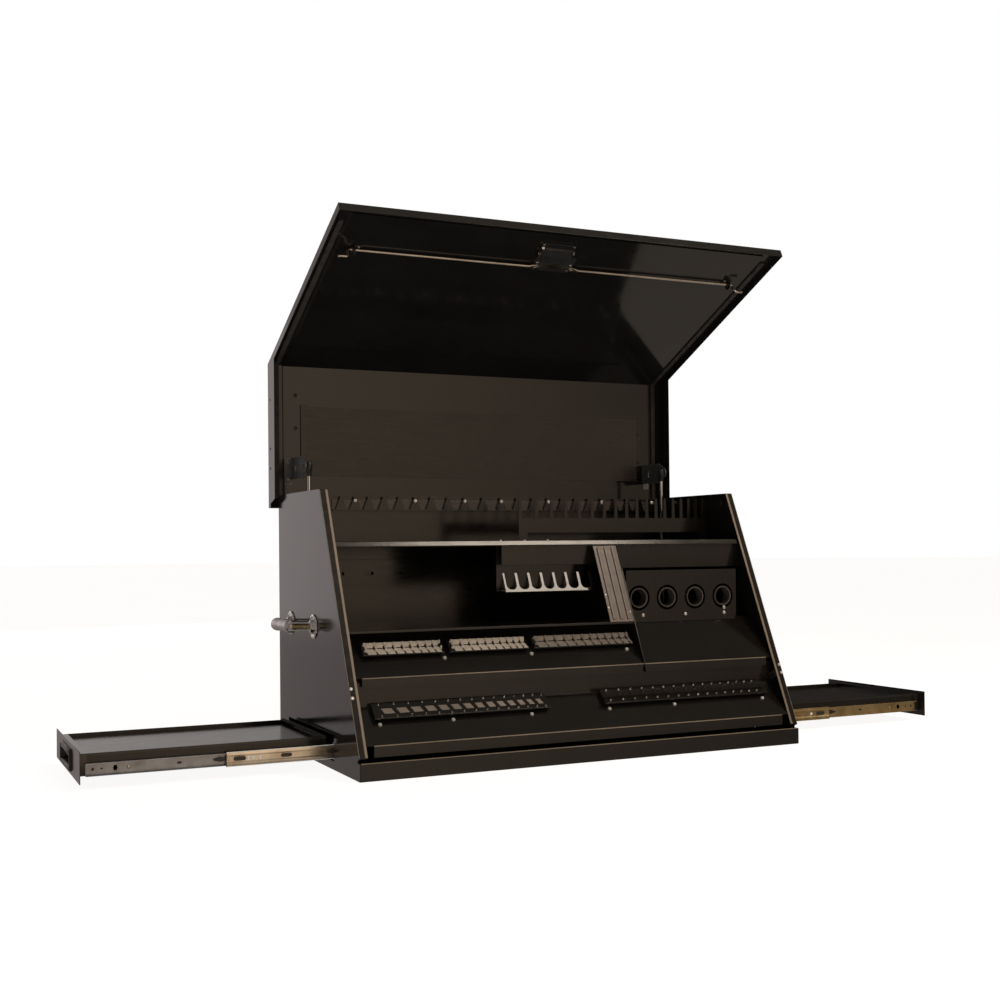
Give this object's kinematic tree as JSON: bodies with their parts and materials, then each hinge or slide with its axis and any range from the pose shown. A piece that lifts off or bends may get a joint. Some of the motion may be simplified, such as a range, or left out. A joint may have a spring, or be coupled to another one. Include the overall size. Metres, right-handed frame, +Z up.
{
  "type": "slant-front portable tool chest",
  "caption": "Slant-front steel tool chest with a folding lid on gas struts, stepped inner trays, racks and combs, a rod latch, side handles and telescopic side drawers.",
  "frame": {"origin": "centre of the base's underside, between the side panels and between the front plinth and the rear panel", "axes": "+X to the right of someone facing the open front, +Y to the rear where the lid is hinged, +Z up; stored with the lid open, both drawers fully out"},
  "size_m": [1.8114, 0.527, 0.9926],
  "materials": {
    "black_gloss_paint": "gloss powder coat",
    "zinc_steel": "zinc plated",
    "slide_zinc": "zinc plated, yellow passivated",
    "chrome_plate": "polished",
    "black_plastic": "moulded",
    "black_foam": "matte"
  },
  "bodies": {
    "case": {"left_side_panel": "black_gloss_paint", "right_side_panel": "black_gloss_paint", "rear_panel": "black_gloss_paint", "base_plate": "black_gloss_paint", "front_plinth": "black_gloss_paint", "drawer_bay_pan": "black_gloss_paint", "bay_partition": "black_gloss_paint", "lower_tray": "black_gloss_paint", "middle_tray": "black_gloss_paint", "right_bay_floor": "black_gloss_paint", "deep_shelf": "black_gloss_paint", "bay_divider": "black_gloss_paint", "divider_pillar": "black_gloss_paint", "upper_shelf": "black_gloss_paint", "hanger_strip": "black_gloss_paint", "plier_comb": "black_gloss_paint", "wrench_comb": "black_gloss_paint", "screwdriver_rack": "black_gloss_paint", "rear_rail": "black_gloss_paint", "holster_plate": "black_gloss_paint", "strut_lower_brackets": "black_gloss_paint", "strut_cylinders": "black_gloss_paint", "hinge_case_leaf": "black_gloss_paint", "lower_socket_rails": "black_gloss_paint", "middle_socket_rails": "black_gloss_paint", "case_screws": "zinc_steel", "rod_keepers": "zinc_steel", "handle_flanges": "chrome_plate", "handle_bars": "chrome_plate", "hinge_pin": "chrome_plate", "handle_grips": "chrome_plate", "slide_case_members": "slide_zinc"},
    "lid": {"lid_shell": "black_gloss_paint", "lid_liner": "black_gloss_paint", "lid_seal": "black_foam", "lid_pocket_panel": "black_gloss_paint", "pocket_panel_strip": "black_gloss_paint", "strut_lid_brackets": "black_gloss_paint", "latch_backplate": "black_gloss_paint", "lock_case": "black_gloss_paint", "rod_guides": "zinc_steel", "latch_escutcheon": "zinc_steel", "lock_cylinder": "chrome_plate", "hinge_lid_leaf": "black_gloss_paint", "lid_rivets": "zinc_steel"},
    "latch": {"latch_handle": "chrome_plate"},
    "left_latch_rod": {"left_latch_rod": "chrome_plate"},
    "right_latch_rod": {"right_latch_rod": "chrome_plate"},
    "left_strut_rod": {"left_strut_rod": "chrome_plate"},
    "right_strut_rod": {"right_strut_rod": "chrome_plate"},
    "left_drawer": {"left_drawer_tray": "black_gloss_paint", "left_drawer_front": "black_gloss_paint", "left_drawer_pull": "black_plastic", "left_slide_drawer_members": "slide_zinc"},
    "left_slide_intermediate": {"left_slide_intermediates": "slide_zinc"},
    "right_drawer": {"right_drawer_tray": "black_gloss_paint", "right_drawer_front": "black_gloss_paint", "right_drawer_pull": "black_plastic", "right_slide_drawer_members": "slide_zinc"},
    "right_slide_intermediate": {"right_slide_intermediates": "slide_zinc"}
  },
  "joints": [
    {"name": "lid_hinge", "type": "hinge", "parent": "case", "child": "lid", "pos_m": [0, 0.2545, 0.486], "axis": [1, 0, 0], "range_deg": [0, 90]},
    {"name": "latch_turn", "type": "hinge", "parent": "lid", "child": "latch", "pos_m": [0, -0.08936, 0.94493], "axis": [0, 0.4179, 0.9085], "range_deg": [0, 42]},
    {"name": "left_rod_slide", "type": "slide", "parent": "lid", "child": "left_latch_rod", "axis": [-1, 0, 0], "range_m": [0, 0.0101]},
    {"name": "right_rod_slide", "type": "slide", "parent": "lid", "child": "right_latch_rod", "axis": [1, 0, 0], "range_m": [0, 0.0101]},
    {"name": "left_strut_slide", "type": "slide", "parent": "case", "child": "left_strut_rod", "axis": [0, 0, 1], "range_m": [-0.15, 0]},
    {"name": "right_strut_slide", "type": "slide", "parent": "case", "child": "right_strut_rod", "axis": [0, 0, 1], "range_m": [-0.15, 0]},
    {"name": "left_drawer_slide", "type": "slide", "parent": "case", "child": "left_drawer", "axis": [1, 0, 0], "range_m": [0, 0.434]},
    {"name": "left_intermediate_slide", "type": "slide", "parent": "case", "child": "left_slide_intermediate", "axis": [1, 0, 0], "range_m": [0, 0.1935]},
    {"name": "right_drawer_slide", "type": "slide", "parent": "case", "child": "right_drawer", "axis": [1, 0, 0], "range_m": [-0.452, 0]},
    {"name": "right_intermediate_slide", "type": "slide", "parent": "case", "child": "right_slide_intermediate", "axis": [1, 0, 0], "range_m": [-0.1985, 0]}
  ],
  "couplings": [
    {"joint": "left_rod_slide", "follows": "latch_turn", "m_per_rad": 0.013642},
    {"joint": "right_rod_slide", "follows": "latch_turn", "m_per_rad": 0.013642},
    {"joint": "left_strut_slide", "follows": "lid_hinge", "m_per_rad": -0.094856},
    {"joint": "right_strut_slide", "follows": "lid_hinge", "m_per_rad": -0.094856},
    {"joint": "left_intermediate_slide", "follows": "left_drawer_slide", "ratio": 0.4447},
    {"joint": "right_intermediate_slide", "follows": "right_drawer_slide", "ratio": 0.43805}
  ]
}
